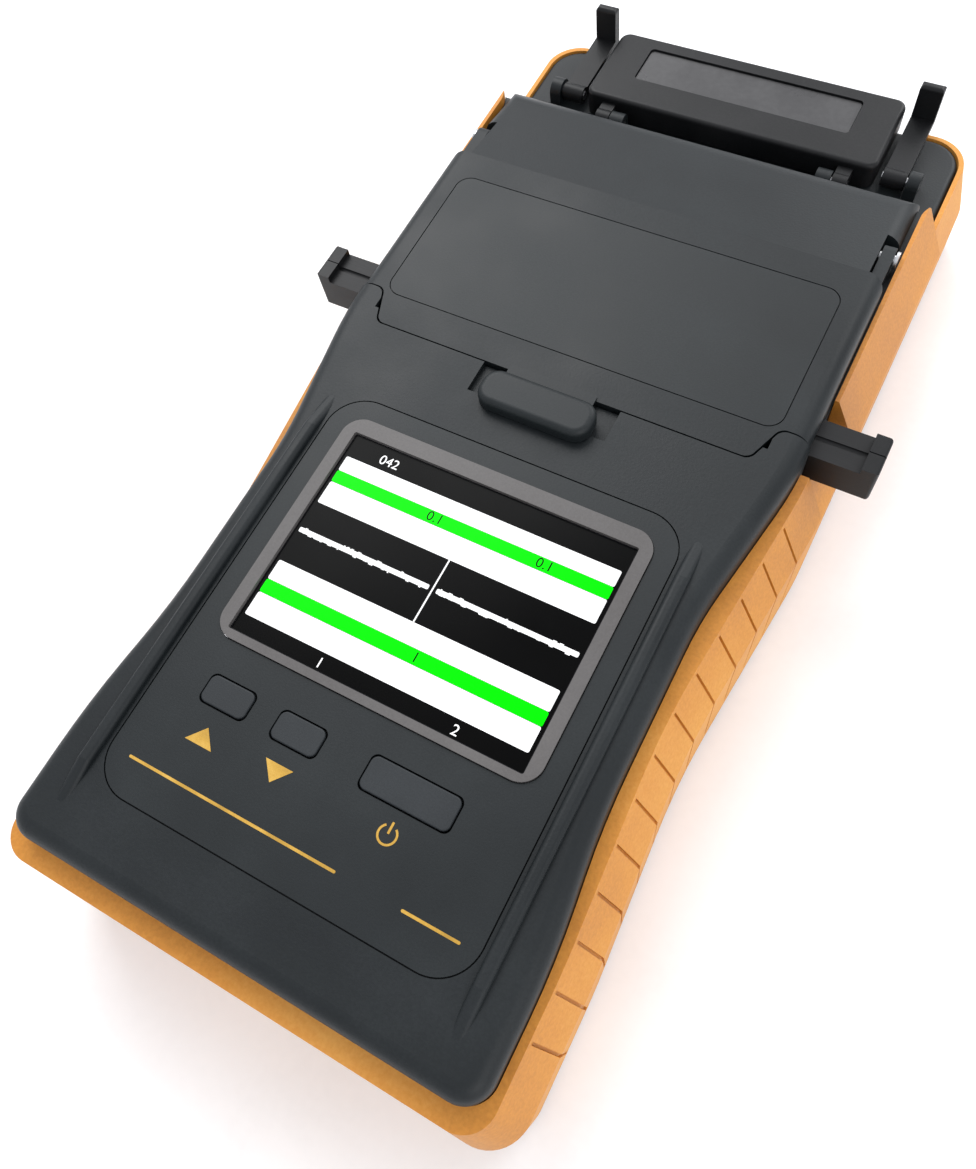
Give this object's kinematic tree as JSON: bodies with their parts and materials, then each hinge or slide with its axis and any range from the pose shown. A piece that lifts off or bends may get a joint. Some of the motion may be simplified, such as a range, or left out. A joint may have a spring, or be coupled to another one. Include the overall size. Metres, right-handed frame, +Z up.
{
  "type": "fiber fusion splicer",
  "caption": "Hand-held fibre fusion splicer: low case in a ribbed rubber bumper, screen and keys in front, hinged wind cover over the splice bay, sleeve heater behind.",
  "frame": {"origin": "centre of the footprint, on the surface the feet stand on", "axes": "+X to the user's right, +Y from the user to the back, +Z up"},
  "size_m": [0.1458, 0.275, 0.0558],
  "materials": {
    "orange_rubber": "matte",
    "case_plastic": "fine matte grain",
    "panel_plastic": "fine matte grain",
    "bezel_plastic": "satin",
    "screen_glass": "gloss",
    "display_metal": "satin",
    "circuit_board": "satin",
    "black_plastic": "satin",
    "steel": "satin",
    "dark_metal": "matte anodised",
    "ceramic": "matte",
    "black_metal": "matte anodised",
    "aluminium": "satin",
    "battery_wrap": "satin",
    "foot_rubber": "matte",
    "tinted_window": "gloss",
    "key_rubber": "matte"
  },
  "bodies": {
    "case": {"bumper": "orange_rubber", "lower_case": "case_plastic", "top_shell": "case_plastic", "rear_cowl": "case_plastic", "rear_deck": "case_plastic", "front_panel": "panel_plastic", "screen_bezel": "bezel_plastic", "screen_glass": "screen_glass", "display_module": "display_metal", "keypad_board": "circuit_board", "key_switches": "black_plastic", "cover_pin_left": "steel", "cover_pin_right": "steel", "splice_tray": "dark_metal", "v_groove_block": "ceramic", "electrode_front": "steel", "electrode_holder_front": "ceramic", "electrode_rear": "steel", "electrode_holder_rear": "ceramic", "objective_lens": "black_metal", "heater_channel": "aluminium", "lid_pin_left": "steel", "lid_pin_right": "steel", "arm_pin_left": "steel", "arm_pin_right": "steel", "foot_front_left": "foot_rubber", "foot_front_right": "foot_rubber", "foot_rear_left": "foot_rubber", "foot_rear_right": "foot_rubber", "case_screws": "steel", "battery_door": "black_plastic", "door_screws": "steel", "port_panel": "black_plastic", "charging_socket": "black_plastic", "data_socket": "steel", "main_board": "circuit_board", "arc_power_unit": "black_plastic", "camera_module": "black_metal", "battery_pack": "battery_wrap"},
    "wind_cover": {"wind_cover": "case_plastic", "cover_inlay": "panel_plastic", "cover_tab": "panel_plastic", "press_feet": "foot_rubber"},
    "heater_lid": {"heater_lid": "black_plastic", "heater_window": "tinted_window"},
    "heater_arm_left": {"heater_arm_left": "black_plastic"},
    "heater_arm_right": {"heater_arm_right": "black_plastic"},
    "up_key": {"up_key": "key_rubber"},
    "down_key": {"down_key": "key_rubber"},
    "power_key": {"power_key": "key_rubber"},
    "fibre_stage_left": {"fibre_stage_left": "black_metal", "guide_cap_left": "black_plastic", "clamp_pin_left": "steel"},
    "fibre_stage_right": {"fibre_stage_right": "black_metal", "guide_cap_right": "black_plastic", "clamp_pin_right": "steel"},
    "fibre_clamp_left": {"fibre_clamp_left": "aluminium"},
    "fibre_clamp_right": {"fibre_clamp_right": "aluminium"}
  },
  "joints": [
    {"name": "cover_hinge", "type": "hinge", "parent": "case", "child": "wind_cover", "pos_m": [0, 0.075, 0.046], "axis": [-1, 0, 0], "range_deg": [0, 95]},
    {"name": "heater_lid_hinge", "type": "hinge", "parent": "case", "child": "heater_lid", "pos_m": [0, 0.1066, 0.0334], "axis": [1, 0, 0], "range_deg": [0, 85]},
    {"name": "heater_arm_left_hinge", "type": "hinge", "parent": "case", "child": "heater_arm_left", "pos_m": [-0.0469, 0.1135, 0.033], "axis": [1, 0, 0], "range_deg": [0, 70]},
    {"name": "heater_arm_right_hinge", "type": "hinge", "parent": "case", "child": "heater_arm_right", "pos_m": [0.0469, 0.1135, 0.033], "axis": [1, 0, 0], "range_deg": [0, 70]},
    {"name": "up_key_press", "type": "slide", "parent": "case", "child": "up_key", "axis": [0, 0, -1], "range_m": [0, 0.0006], "stiffness_N_per_m": 400, "springref_m": -0.0003},
    {"name": "down_key_press", "type": "slide", "parent": "case", "child": "down_key", "axis": [0, 0, -1], "range_m": [0, 0.0006], "stiffness_N_per_m": 400, "springref_m": -0.0003},
    {"name": "power_key_press", "type": "slide", "parent": "case", "child": "power_key", "axis": [0, 0, -1], "range_m": [0, 0.0006], "stiffness_N_per_m": 500, "springref_m": -0.0003},
    {"name": "stage_left_feed", "type": "slide", "parent": "case", "child": "fibre_stage_left", "axis": [1, 0, 0], "range_m": [0, 0.002]},
    {"name": "clamp_left_hinge", "type": "hinge", "parent": "fibre_stage_left", "child": "fibre_clamp_left", "pos_m": [-0.035, 0.0305, 0.0462], "axis": [-1, 0, 0], "range_deg": [0, 95]},
    {"name": "stage_right_feed", "type": "slide", "parent": "case", "child": "fibre_stage_right", "axis": [-1, 0, 0], "range_m": [0, 0.002]},
    {"name": "clamp_right_hinge", "type": "hinge", "parent": "fibre_stage_right", "child": "fibre_clamp_right", "pos_m": [0.035, 0.0305, 0.0462], "axis": [-1, 0, 0], "range_deg": [0, 95]}
  ],
  "couplings": [
    {"joint": "clamp_left_hinge", "follows": "cover_hinge", "ratio": 1},
    {"joint": "clamp_right_hinge", "follows": "cover_hinge", "ratio": 1}
  ]
}
